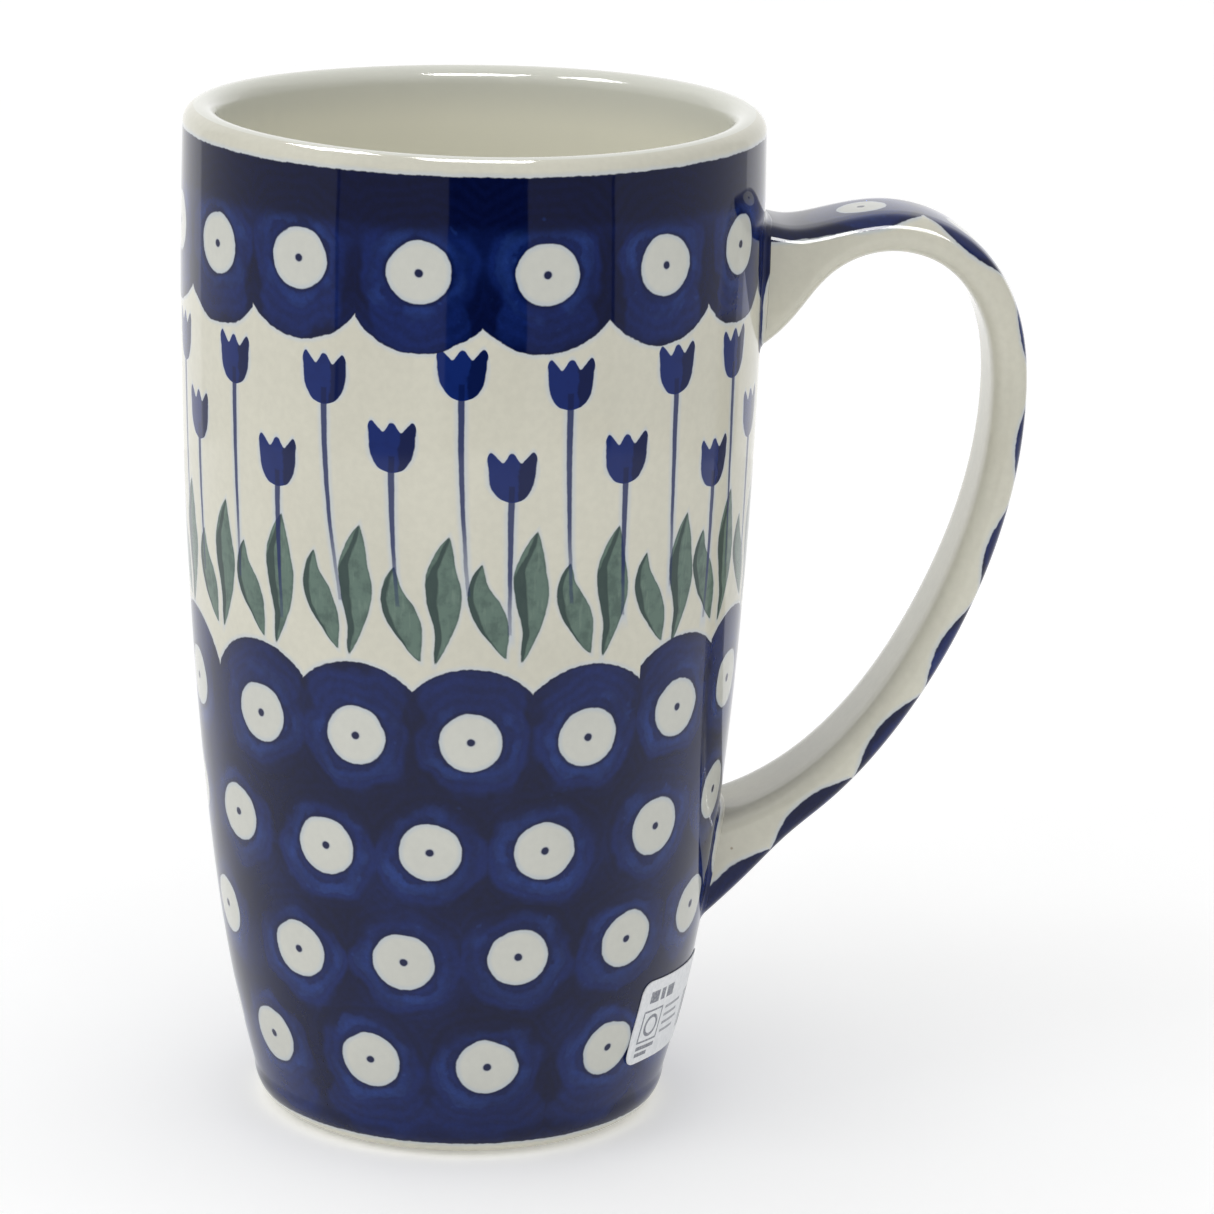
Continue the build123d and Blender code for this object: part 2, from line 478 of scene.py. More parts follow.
class Term:
    """A number that changes over the surface: an output socket that sums like a number."""

    def __init__(self, socket):
        self.socket = socket
        self.tree = socket.id_data

    def combine(self, operation, *others):
        node = self.tree.nodes.new("ShaderNodeMath")
        node.operation = operation
        for place, term in enumerate((self,) + others):
            if isinstance(term, Term):
                self.tree.links.new(term.socket, node.inputs[place])
            else:
                node.inputs[place].default_value = term
        return Term(node.outputs[0])

    def __add__(self, other):
        return self.combine("ADD", other)

    def __sub__(self, other):
        return self.combine("SUBTRACT", other)

    def __mul__(self, other):
        return self.combine("MULTIPLY", other)

    def __truediv__(self, other):
        return self.combine("DIVIDE", other)

    def under(self, top):
        """top minus this."""
        return (self * -1) + top

    def low(self, other):
        return self.combine("MINIMUM", other)

    def high(self, other):
        return self.combine("MAXIMUM", other)

    def size(self):
        return self.combine("ABSOLUTE")

    def square(self):
        return self * self

    def step(self, start, end, low=0.0, high=1.0):
        """A soft step from low to high as this goes from start to end."""
        node = self.tree.nodes.new("ShaderNodeMapRange")
        node.interpolation_type = "SMOOTHSTEP"
        self.tree.links.new(self.socket, node.inputs["Value"])
        for name, value in (("From Min", start), ("From Max", end), ("To Min", low), ("To Max", high)):
            node.inputs[name].default_value = value
        return Term(node.outputs["Result"])

    def curve(self, points, smooth=False):
        """This, 0 to 1, read off a curve through the points."""
        node = self.tree.nodes.new("ShaderNodeFloatCurve")
        line = node.mapping.curves[0]
        while len(line.points) < len(points):
            line.points.new(0.5, 0.5)
        for point, place in zip(line.points, points):
            point.location = place
            point.handle_type = "AUTO" if smooth else "VECTOR"
        node.mapping.update()
        self.tree.links.new(self.socket, node.inputs["Value"])
        return Term(node.outputs[0])


def length(x, y):
    return (x.square() + y.square()).combine("SQRT")


def turn_from_front(x, y):
    """Degrees around the cup from its front towards the handle."""
    return x.combine("ARCTAN2", y * -1) * math.degrees(1)


def axes(tree, vector):
    """A vector's three numbers."""
    split = tree.nodes.new("ShaderNodeSeparateXYZ")
    tree.links.new(vector, split.inputs[0])
    return [Term(part) for part in split.outputs]


def uv_runs(tree, name):
    """The two numbers of a UV map."""
    runs = tree.nodes.new("ShaderNodeUVMap")
    runs.uv_map = name
    return axes(tree, runs.outputs[0])[:2]


def scaled(tree, colour, amount):
    """A colour times a term."""
    node = tree.nodes.new("ShaderNodeVectorMath")
    node.operation = "SCALE"
    tree.links.new(colour, node.inputs[0])
    tree.links.new(amount.socket, node.inputs["Scale"])
    return node.outputs[0]


def relief(tree, shader, height, strength, distance):
    """Bumps on a shader's surface, from a height."""
    bump = tree.nodes.new("ShaderNodeBump")
    bump.inputs["Strength"].default_value = strength
    bump.inputs["Distance"].default_value = distance
    tree.links.new(height, bump.inputs["Height"])
    tree.links.new(bump.outputs[0], shader.inputs["Normal"])


def feed(tree, socket, value):
    """Gives a socket its value: a term, another socket, a number or a colour's three numbers."""
    if isinstance(value, Term):
        tree.links.new(value.socket, socket)
    elif isinstance(value, bpy.types.NodeSocket):
        tree.links.new(value, socket)
    elif isinstance(value, (int, float)):
        socket.default_value = value
    else:
        socket.default_value = (*value, 1.0)


def colour_mix(tree, share, first, second):
    """second over first by share; each colour is a socket or three numbers."""
    node = tree.nodes.new("ShaderNodeMix")
    node.data_type = "RGBA"
    sockets = [s for s in node.inputs if s.name == "Factor" and s.type == "VALUE"][:1] + [
        s for s in node.inputs if s.name in ("A", "B") and s.type == "RGBA"]
    for socket, value in zip(sockets, (share, first, second)):
        feed(tree, socket, value)
    return next(s for s in node.outputs if s.type == "RGBA")


def noise(tree, vector, scale, detail=2.0, roughness=0.5, stretch=None):
    """Noise around 0.5; stretch scales the vector first."""
    if stretch:
        mapping = tree.nodes.new("ShaderNodeMapping")
        mapping.inputs["Scale"].default_value = stretch
        tree.links.new(vector, mapping.inputs["Vector"])
        vector = mapping.outputs[0]
    node = tree.nodes.new("ShaderNodeTexNoise")
    node.inputs["Scale"].default_value = scale
    node.inputs["Detail"].default_value = detail
    node.inputs["Roughness"].default_value = roughness
    tree.links.new(vector, node.inputs["Vector"])
    return Term(node.outputs["Fac"])


def new_group(name, inputs, outputs):
    """A shader node group with these sockets: its tree, its inputs by name and its output node."""
    tree = bpy.data.node_groups.new(name, "ShaderNodeTree")
    kinds = {"value": "NodeSocketFloat", "colour": "NodeSocketColor", "vector": "NodeSocketVector"}
    for side, sockets in (("INPUT", inputs), ("OUTPUT", outputs)):
        for socket, kind in sockets.items():
            tree.interface.new_socket(socket, in_out=side, socket_type=kinds[kind])
    start = tree.nodes.new("NodeGroupInput")
    end = tree.nodes.new("NodeGroupOutput")
    return tree, start.outputs, end.inputs


def use_group(tree, group, **values):
    """Places a group, gives its sockets their values by name, and returns its outputs."""
    node = tree.nodes.new("ShaderNodeGroup")
    node.node_tree = group
    for name, value in values.items():
        feed(tree, node.inputs[name], value)
    return node.outputs


# ---------------------------------------------------------------------------
# Groups that more than one paint uses
# ---------------------------------------------------------------------------


def cream_group():
    """Cream clay under clear glaze: faint clouds, a warmer pooling and a few iron specks."""
    tree, given, put = new_group(
        "Cream clay", {"Place": "vector", "Cream": "colour"}, {"Colour": "colour", "Height": "value"})
    place = given["Place"]
    cloud = noise(tree, place, 34.0, 3.0)
    grain = noise(tree, place, 900.0, 2.0)
    tone = cloud.step(0.3, 0.7, 0.94, 1.03) * grain.step(0.25, 0.75, 0.975, 1.02)
    warm = noise(tree, place, 60.0, 2.0).step(0.55, 0.85, 0.0, 0.10)
    colour = colour_mix(tree, warm, scaled(tree, given["Cream"], tone), (0.60, 0.50, 0.34))
    spots = tree.nodes.new("ShaderNodeTexVoronoi")
    spots.inputs["Scale"].default_value = 170.0
    tree.links.new(place, spots.inputs["Vector"])
    near = Term(spots.outputs["Distance"]).step(0.05, 0.02)
    chosen = noise(tree, spots.outputs["Position"], 90.0, 0.0).step(0.66, 0.68)
    colour = colour_mix(tree, near * chosen * 0.6, colour, (0.22, 0.14, 0.07))
    tree.links.new(colour, put["Colour"])
    tree.links.new((noise(tree, place, 75.0, 2.0) + grain * 0.03).socket, put["Height"])
    return tree


# Heights over which the lip's thick coat of cobalt sets in, in metres
LIP_COAT = (0.1335, 0.1365)


def cobalt_group():
    """Cobalt laid on in round dabs: thin and bright near a dot, thick and dark between dabs.
    Upness is 1 straight above the dot's middle and -1 straight below; Open is 1 where the dab
    runs out over bare clay, so that no other dab lies on it."""
    tree, given, put = new_group(
        "Cobalt dabs",
        {"Place": "vector", "Distance": "value", "Upness": "value", "Open": "value",
         "Deep": "colour", "Middle": "colour", "Bright": "colour"},
        {"Colour": "colour"})
    place = given["Place"]
    distance, up, free = (Term(given[name]) for name in ("Distance", "Upness", "Open"))
    broad = noise(tree, place, 160.0, 1.0)
    patch = noise(tree, place, 210.0, 2.0)
    fine = noise(tree, place, 1300.0, 3.0, 0.65)
    jag = noise(tree, place, 430.0, 2.0, 0.6)
    away = distance + (broad - 0.5) * 4.6 + (jag - 0.5) * 1.8 + (fine - 0.5) * 0.8
    ring = away.step(4.5, 5.0) * away.step(6.9, 6.3)
    ring = ring * (patch.step(0.44, 0.62) * 0.5 + up.step(0.2, -0.75, 0.0, 0.40)).low(0.8)
    edge = up.step(-0.3, 0.9, 7.7, 6.3) + free * 3.8
    deep = (away - edge).step(-0.4, 0.9)
    lip_coat = axes(tree, place)[2].step(*LIP_COAT)
    swirl = ((distance + (broad - 0.5) * 3.6) * 3.7).combine("SINE").step(-1.0, 1.0, 0.90, 1.10)
    colour = colour_mix(tree, ring, given["Middle"], given["Bright"])
    wash = noise(tree, place, 95.0, 2.0).step(0.35, 0.65, 0.0, 0.30)
    colour = colour_mix(tree, wash, colour, given["Deep"])
    shade = noise(tree, place, 70.0, 1.0).step(0.35, 0.6, 0.50, 0.90)
    colour = colour_mix(tree, (deep * shade).high(lip_coat), colour, given["Deep"])
    fleck = noise(tree, place, 560.0, 1.0).step(0.70, 0.80, 0.0, 0.55) * away.step(9.2, 6.0)
    colour = colour_mix(tree, fleck, colour, given["Bright"])
    mottle = fine.step(0.2, 0.8, 0.82, 1.18)
    tree.links.new(scaled(tree, colour, swirl * mottle), put["Colour"])
    return tree


def hand_group():
    """How a hand strays: a slow sway and a fine brush edge, both about 0, in millimetres."""
    tree, given, put = new_group("Hand sway", {"Place": "vector"}, {"Slow": "value", "Fine": "value"})
    slow = (noise(tree, given["Place"], 230.0, 1.0) - 0.5) * 1.5
    fine = (noise(tree, given["Place"], 1100.0, 2.0) - 0.5) * 0.34
    tree.links.new(slow.socket, put["Slow"])
    tree.links.new(fine.socket, put["Fine"])
    return tree


GROUPS = {}


def groups():
    """The shared groups, made once."""
    if not GROUPS:
        GROUPS["cream"] = cream_group()
        GROUPS["cobalt"] = cobalt_group()
        GROUPS["hand"] = hand_group()
    return GROUPS


def new_material(name):
    """A material with its tree, its Principled shader and the object's own coordinates."""
    material = bpy.data.materials.new(name)
    material.use_nodes = True
    tree = material.node_tree
    shader = tree.nodes["Principled BSDF"]
    place = tree.nodes.new("ShaderNodeTexCoord").outputs["Object"]
    return material, tree, shader, place


def glaze(tree, shader, colour, height, gloss, strength=0.10):
    """Clear gloss glaze over a colour, with the slow waves of a dipped coat."""
    tree.links.new(colour, shader.inputs["Base Color"])
    shader.inputs["Roughness"].default_value = gloss
    shader.inputs["IOR"].default_value = 1.5
    shader.inputs["Specular IOR Level"].default_value = 0.30
    relief(tree, shader, height, strength, 0.0004)


def cobalt_dabs(tree, where, colours, distance, upness, free):
    """Cobalt dabs in the mug's colours."""
    return use_group(
        tree, groups()["cobalt"], Place=where, Distance=distance, Upness=upness, Open=free,
        Deep=colours.cobalt_deep, Middle=colours.cobalt, Bright=colours.cobalt_bright)["Colour"]


def reserved_dot(tree, colour, clay, depth):
    """A dot left bare in the cobalt, where the glaze pools bluish towards its edge."""
    tinted_clay = colour_mix(tree, depth.step(0.9, 0.0, 0.30, 0.85), clay, POOLED_BLEED)
    return colour_mix(tree, depth.step(-0.10, 0.14), colour, tinted_clay)


# ---------------------------------------------------------------------------
# The painted pattern on the cup
# ---------------------------------------------------------------------------


def around_the_cup(count, front):
    """All the strokes of a row, sorted by turn: the front ones, then even ones round the back.
    One stroke past each end is repeated, so that the row closes on itself."""
    front = [tuple(float(n) for n in stroke) for stroke in front]
    missing = count - len(front)
    gap = (front[0][0] + 360 - front[-1][0]) / (missing + 1)
    usual = [sum(column) / len(front) for column in list(zip(*front))[1:]]
    row = list(front)
    for k in range(missing):
        row.append((front[-1][0] + gap * (k + 1), *usual))
    row = sorted(((turn + 180) % 360 - 180, *rest) for turn, *rest in row)
    first, last = row[0], row[-1]
    return [(last[0] - 360, *last[1:])] + row + [(first[0] + 360, *first[1:])]


def nearest_stroke(turn, radius, count, front):
    """The nearest stroke of a row: its sideways distance in millimetres, and its other numbers."""
    row = around_the_cup(count, front)
    last = len(row) - 1
    span = 400.0
    share = turn / span + 0.5
    phase = share.curve([(stroke[0] / span + 0.5, k / last) for k, stroke in enumerate(row)])
    number = (phase * last).combine("ROUND") / last
    middle = number.curve([(k / last, stroke[0] / span + 0.5) for k, stroke in enumerate(row)])
    middle = (middle - 0.5) * span
    sideways = (turn - middle) * math.radians(1) * radius
    others = []
    for column in range(1, len(row[0])):
        values = [stroke[column] for stroke in row]
        low, reach = min(values), max(max(values) - min(values), 0.001)
        curve = number.curve([(k / last, (value - low) / reach) for k, value in enumerate(values)])
        others.append(curve * reach + low)
    return sideways, others


def dots(place):
    """The nearest dot of any row: the distance to its middle, how far straight above it, and the
    distances in the lip and shoulder rows."""
    turn, radius, height = place
    nearest, above, rows = None, None, {}
    for name, row in DOT_ROWS.items():
        sideways, (middle,) = nearest_stroke(turn, radius, *row)
        up = height - middle
        distance = length(sideways * 0.965, up)
        rows[name] = distance
        if nearest is None:
            nearest, above = distance, up
        else:
            closer = distance.combine("LESS_THAN", nearest)
            above = above + (up - above) * closer
            nearest = nearest.low(distance)
    return nearest, above / nearest.high(1.0), rows["lip"], rows["shoulder"]


def tulip(place, layout, sway, reach):
    """Depth inside the nearest tulip's cup and stem, how far right of its middle, and the share of
    the way down its stem."""
    turn, radius, height = place
    sideways, (bottom, lean) = nearest_stroke(turn, radius, *layout)
    up = height - bottom
    across = sideways + sway * 0.3
    side = across.size()
    crown = (side / 4.0).curve(CROWN, smooth=True) * 8.0
    flank = (up / 8.0).curve(FLANK, smooth=True) * 4.0
    cup = (crown - up).low(flank - side).low(up)
    down = (up * -1) / reach
    bend = down * down * lean * math.radians(1) * radius
    half = down.step(-0.2, 1.0, 0.50, 0.24)
    stem = half - (sideways - bend + sway * 0.12).size()
    return cup, stem.low(up * -1 + 2.4).low((up + reach) * 0.3), across, down


def leaf(place, layout, sway, shape):
    """Depth inside the nearest leaf, and depth inside its dark stroke."""
    turn, radius, height = place
    sideways, (base, tall) = nearest_stroke(turn, radius, *layout)
    up = (height - base) / tall
    middle = up.curve([(t, m / 10 + 0.5) for t, m, _, _, _ in shape], smooth=True) * 10 - 5
    half = up.curve([(t, h / 3) for t, _, h, _, _ in shape], smooth=True) * 3
    dark_middle = up.curve([(t, d / 4 + 0.5) for t, _, _, d, _ in shape], smooth=True) * 4 - 2
    dark_half = up.curve([(t, d) for t, _, _, _, d in shape], smooth=True)
    across = sideways + sway * 0.3 - middle
    ends = (up * 9).low(up.under(1.0) * 9)
    inside = (half - across.size()).low(ends)
    dark = dark_half - (across - dark_middle + sway * 0.25).size()
    return inside, dark


# A tulip's cup: the height of its toothed edge across it, and its half width up
# it, as shares of the curves' ranges.
CROWN = [(0, 0.87), (0.09, 0.85), (0.20, 0.765), (0.32, 0.70), (0.45, 0.755), (0.60, 0.84), (0.72, 0.885),
         (0.80, 0.85), (0.88, 0.70), (1, 0.4)]
FLANK = [(0, 0), (0.03, 0.26), (0.08, 0.46), (0.16, 0.60), (0.30, 0.74), (0.45, 0.80), (0.65, 0.83),
         (0.85, 0.87), (1, 0.88)]

# How long the tulips' stems are, in millimetres
TALL_STEM = 27.0
SHORT_STEM = 18.5

# A leaf, base to tip: the share of the way up, its middle's offset, its half
# width, and its dark stroke's offset from the middle and half width, in millimetres.
TALL_LEAF = [
    (0, 0, 0.15, 0, 0.10), (0.1, 0.47, 0.70, -0.35, 0.35), (0.2, 0.92, 1.08, -0.59, 0.50),
    (0.3, 1.17, 1.57, -1.08, 0.52), (0.4, 1.17, 2.04, -1.40, 0.66), (0.5, 1.09, 2.38, -1.63, 0.75),
    (0.6, 0.92, 2.44, -1.58, 0.88), (0.7, 0.79, 2.19, -1.26, 0.60), (0.8, 0.93, 1.70, -0.63, 0.42),
    (0.9, 1.17, 1.06, -0.18, 0.34), (1, 1.6, 0.10, 0, 0.10)]
SHORT_LEAF = [
    (0, 0, 0.15, 0, 0.05), (0.1, -0.61, 0.85, -0.8, 0.12), (0.2, -1.09, 1.42, -1.25, 0.25),
    (0.3, -1.63, 1.94, -1.75, 0.36), (0.4, -2.12, 2.27, -1.95, 0.48), (0.5, -2.65, 2.32, -1.95, 0.58),
    (0.6, -3.13, 2.19, -1.80, 0.60), (0.7, -3.64, 1.76, -1.40, 0.52), (0.8, -3.93, 1.23, -0.85, 0.40),
    (0.9, -3.89, 0.79, -0.45, 0.28), (1, -3.64, 0.10, 0, 0.10)]


def outside_paint(colours):
    """The cup's painted outside."""
    material, tree, shader, where = new_material("Painted stoneware")
    x, y, z = axes(tree, where)
    turn = turn_from_front(x, y)
    radius = length(x, y) * 1000
    height = z * 1000
    hand = use_group(tree, groups()["hand"], Place=where)
    slow, fine = Term(hand["Slow"]), Term(hand["Fine"])
    place = (turn, radius, height + slow * 0.25)

    nearest, upness, lip_dots, shoulder_dots = dots(place)
    wavy = nearest + slow * 0.42 + fine * 0.6

    lip_field = (height.under(LIP_LINE) + slow * 0.22 + fine).low(
        (height - LIP_DABS[0]).high(lip_dots.under(LIP_DABS[1]) + slow * 0.35 + fine))
    low_field = (height - FOOT_LINE + fine + slow * 0.15).low(
        height.under(SHOULDER_DABS[0]).high(shoulder_dots.under(SHOULDER_DABS[1]) + slow * 0.35 + fine))
    field = lip_field.high(low_field)

    dot = wavy.under(DOT_RADIUS)
    pip = (nearest + fine * 0.5).under(PIP_RADIUS)

    # Where the dabs run out over bare clay, and which side of them the next row covers.
    below_lip = height.step(131.0, 126.5) * height.step(95.0, 100.0) * upness.step(-0.50, -0.85)
    over_shoulder = height.step(63.0, 68.0) * height.step(95.0, 90.0) * upness.step(0.38, 0.80)
    overlap = (upness * -1).high(-1) * height.step(95.0, 100.0) + upness * height.step(100.0, 95.0)

    clay = use_group(tree, groups()["cream"], Place=where, Cream=colours.cream)
    free = below_lip.high(over_shoulder).high(height.step(11.0, 6.0))
    cobalt = cobalt_dabs(tree, where, colours, nearest, overlap, free)

    # Blue and green bleed a little into the clay around each stroke.
    colour = clay["Colour"]
    tall_cup, tall_stem, tall_across, tall_down = tulip(place, TALL_TULIPS, slow, TALL_STEM)
    short_cup, short_stem, short_across, short_down = tulip(place, SHORT_TULIPS, slow, SHORT_STEM)
    cups = tall_cup.high(short_cup) + fine * 0.6
    stems = tall_stem.high(short_stem) + fine * 0.3
    blue_glow = field.high(cups).high(stems)
    colour = colour_mix(tree, blue_glow.step(-0.85, 0.05, 0.0, 0.66), colour, PALE_BLEED)

    # Leaves: uneven washes of green, with a thick dark stroke.
    tall_leaf, tall_dark = leaf(place, TALL_LEAVES, slow, TALL_LEAF)
    short_leaf, short_dark = leaf(place, SHORT_LEAVES, slow, SHORT_LEAF)
    leaves = tall_leaf.high(short_leaf) + fine * 0.5
    darks = tall_dark.low(tall_leaf + 0.1).high(short_dark.low(short_leaf + 0.1))
    wash = noise(tree, where, 480.0, 3.0, 0.6)
    streak = noise(tree, where, 700.0, 2.0, 0.6, stretch=(1.6, 1.6, 0.35))
    colour = colour_mix(tree, leaves.step(-0.7, 0.05, 0.0, 0.5), colour, PALE_BLEED)
    green = colour_mix(tree, wash.step(0.42, 0.70, 0.0, 0.42), colours.leaf, colours.leaf_deep)
    green = colour_mix(tree, streak.step(0.52, 0.72, 0.0, 0.28), green, (0.22, 0.30, 0.25))
    green = colour_mix(tree, leaves.step(0.45, 0.0, 0.0, 0.25), green, colours.leaf_deep)
    green = colour_mix(
        tree, (darks + (streak - 0.5) * 0.5).step(-0.16, 0.16, 0.0, 0.88), green, colours.leaf_deep)
    colour = colour_mix(tree, leaves.step(-0.10, 0.12), colour, green)

    # Stems, which fade over the leaves, and cups of three petals, the right one thicker.
    fade = (tall_stem + 0.02).step(0.0, 0.1) * tall_down.step(0.55, 1.0, 0.0, 0.45)
    fade = fade.high((short_stem + 0.02).step(0.0, 0.1) * short_down.step(0.55, 1.0, 0.0, 0.45))
    colour = colour_mix(tree, stems.step(-0.10, 0.12) * fade.under(0.92), colour, colours.cobalt)
    petal = noise(tree, where, 600.0, 2.0)
    right = tall_across * tall_cup.step(-0.5, 0.0) + short_across * short_cup.step(-0.5, 0.0)
    dark_petal = (right + (petal - 0.5) * 1.2).step(0.75, 1.15, 0.0, 0.7)
    flower = colour_mix(tree, petal.step(0.45, 0.75, 0.0, 0.40), colours.flower, colours.cobalt)
    flower = colour_mix(tree, dark_petal, flower, colours.cobalt_deep)
    flower = colour_mix(tree, cups.step(0.35, 0.0, 0.0, 0.3), flower, colours.cobalt)
    colour = colour_mix(tree, cups.step(-0.1, 0.12), colour, flower)
    stem_in_cup = stems.step(-0.05, 0.2) * cups.step(0.0, 0.3) * 0.55
    colour = colour_mix(tree, stem_in_cup, colour, colours.cobalt_deep)

    # Fields of cobalt dabs, with their reserved dots and pips.
    colour = colour_mix(tree, field.step(-0.12, 0.12), colour, cobalt)
    thick = dot.step(-0.65, -0.1).high(field.step(0.5, 0.05)) * field.step(-0.1, 0.1)
    colour = colour_mix(tree, thick * 0.6, colour, colours.cobalt_deep)
    colour = reserved_dot(tree, colour, clay["Colour"], dot)
    colour = colour_mix(tree, pip.step(-0.35, 0.1, 0.0, 0.35), colour, PIP_HALO)
    colour = colour_mix(tree, pip.step(-0.12, 0.12), colour, PIP_INK)
    glaze(tree, shader, colour, clay["Height"], colours.gloss)
    return material


# How much paler than the outside the clay is painted on the lip and the inside, and how much paler still
# below the lip: painted light, standing in for the light that falls there
LIP_PAINTED_LIGHT_SHARES = (1.09, 1.13, 1.22)
INSIDE_PAINTED_LIGHT_SHARES = (1.34, 1.35, 1.38)


def inside_paint(colours):
    """Cream glaze for the lip and the inside, painted paler than the outside as painted light, and paler
    still below the lip.
    """
    material, tree, shader, where = new_material("Cream glaze")
    clay = use_group(tree, groups()["cream"], Place=where, Cream=colours.cream)
    height = axes(tree, where)[2]
    lip = [part * share for part, share in zip(colours.cream, LIP_PAINTED_LIGHT_SHARES)]
    tinted_clay = [part * share for part, share in zip(colours.cream, INSIDE_PAINTED_LIGHT_SHARES)]
    # Painted light: the lip and the inside are painted paler than the outside, and paler still below the
    # lip.
    colour = colour_mix(tree, 0.8, clay["Colour"], lip)
    colour = colour_mix(tree, height.step(CUP_HEIGHT - 0.002, CUP_HEIGHT - 0.009), colour, tinted_clay)
    glaze(tree, shader, colour, clay["Height"], colours.gloss)
    return material


def foot_paint(colours):
    """Bare fired clay on the foot ring, duller and a little greyer than the glaze."""
    material, tree, shader, where = new_material("Bare foot")
    clay = use_group(tree, groups()["cream"], Place=where, Cream=colours.cream)
    scuff = noise(tree, where, 700.0, 4.0, 0.7).step(0.4, 0.75, 0.0, 0.55)
    colour = colour_mix(tree, scuff, clay["Colour"], (0.40, 0.37, 0.31))
    glaze(tree, shader, colour, clay["Height"], 0.55, strength=0.5)
    return material


# Dots down the strap: the run of the first from the strap's end and their spacing;
# and how far each dab reaches across, from the upper root down, in millimetres.
STRAP_DOTS = (19.0, 15.85)
STRAP_DABS = [8.9, 8.2, 7.0, 7.6, 8.2, 8.8, 9.5, 10.2, 10.6]
STRAP_DOT_RADIUS = 3.5

# The dabs that cover the two roots: the run at which each ends, and how far it reaches across
UPPER_ROOT_DAB = (17.5, 8.5)
LOWER_ROOT_DAB = (146.0, 10.9)


def handle_paint(colours):
    """The strap: cream, with a row of cobalt dabs and dots down its outer face."""
    material, tree, shader, where = new_material("Painted strap")
    lengthways, sideways = uv_runs(tree, "strap_runs")
    along, across = lengthways * 100, (sideways - 0.5) * 100
    hand = use_group(tree, groups()["hand"], Place=where)
    slow, fine = Term(hand["Slow"]), Term(hand["Fine"])
    first, spacing = STRAP_DOTS
    last, widest = len(STRAP_DABS) - 1, 12
    number = ((along - first) / spacing).combine("ROUND").high(0.0).low(last)
    run = along - first - number * spacing
    size = (number / last).curve([(k / last, reach / widest) for k, reach in enumerate(STRAP_DABS)])
    size = size * widest
    dab = length(run / 1.14, across).under(size) + slow * 0.25 + fine
    upper_root = length((along - UPPER_ROOT_DAB[0]).high(0.0) * 0.72, across).under(UPPER_ROOT_DAB[1])
    upper_root = upper_root + along.step(10.0, 4.0, 0.0, 1.2)
    lower_root = length(along.under(LOWER_ROOT_DAB[0]).high(0.0), across).under(LOWER_ROOT_DAB[1])
    field = dab.high(upper_root + slow * 0.2 + fine).high(lower_root + slow * 0.2 + fine)
    from_dot = length(run, across + 0.6)
    clay = use_group(tree, groups()["cream"], Place=where, Cream=colours.cream)
    cobalt = cobalt_dabs(tree, where, colours, from_dot, 0.0, 0.0)
    dot = (from_dot + slow * 0.3 + fine * 0.7).under(STRAP_DOT_RADIUS)
    pip = (from_dot + fine * 0.5).under(PIP_RADIUS)
    colour = colour_mix(tree, field.step(-0.85, 0.05, 0.0, 0.66), clay["Colour"], PALE_BLEED)
    colour = colour_mix(tree, field.step(-0.12, 0.12), colour, cobalt)
    colour = reserved_dot(tree, colour, clay["Colour"], dot)
    colour = colour_mix(tree, pip.step(-0.12, 0.12), colour, PIP_INK)
    glaze(tree, shader, colour, clay["Height"], colours.gloss)
    return material


def joint_paint(colours):
    """The slip bead: cream, with a cobalt line where it meets the wall, wider on the painted side."""
    material, tree, shader, where = new_material("Painted joint")
    to_wall, painted = uv_runs(tree, "bead_runs")
    hand = use_group(tree, groups()["hand"], Place=where)
    clay = use_group(tree, groups()["cream"], Place=where, Cream=colours.cream)
    broad = noise(tree, where, 200.0, 3.0)
    cobalt = colour_mix(tree, broad.step(0.35, 0.7), colours.cobalt, colours.cobalt_deep)
    line = to_wall - painted.step(0.35, 0.75, 0.45, -0.2) + Term(hand["Fine"]) * 0.5
    colour = colour_mix(tree, line.step(-0.35, 0.0, 0.0, 0.6), clay["Colour"], PALE_BLEED)
    colour = colour_mix(tree, line.step(-0.06, 0.06), colour, cobalt)
    glaze(tree, shader, colour, clay["Height"], colours.gloss)
    return material


# The label's size, its middle's height, its turn around the cup and its tilt, in millimetres
# and degrees
LABEL = {"long": 22.0, "tall": 12.8, "corner": 1.8, "thick": 0.16, "height": 16.9, "turn": 64.0,
         "tilt": -3.0}

# The label's plain bars, as (left, right, bottom, top) from its middle, in millimetres
LABEL_BARS = [
    (-9.3, -4.7, -4.4, -3.8), (-9.3, -6.2, -5.4, -4.8),
    (-8.8, -6.6, 2.8, 4.6), (-6.0, -4.9, 2.8, 4.6), (-4.3, -2.2, 2.8, 4.6)]


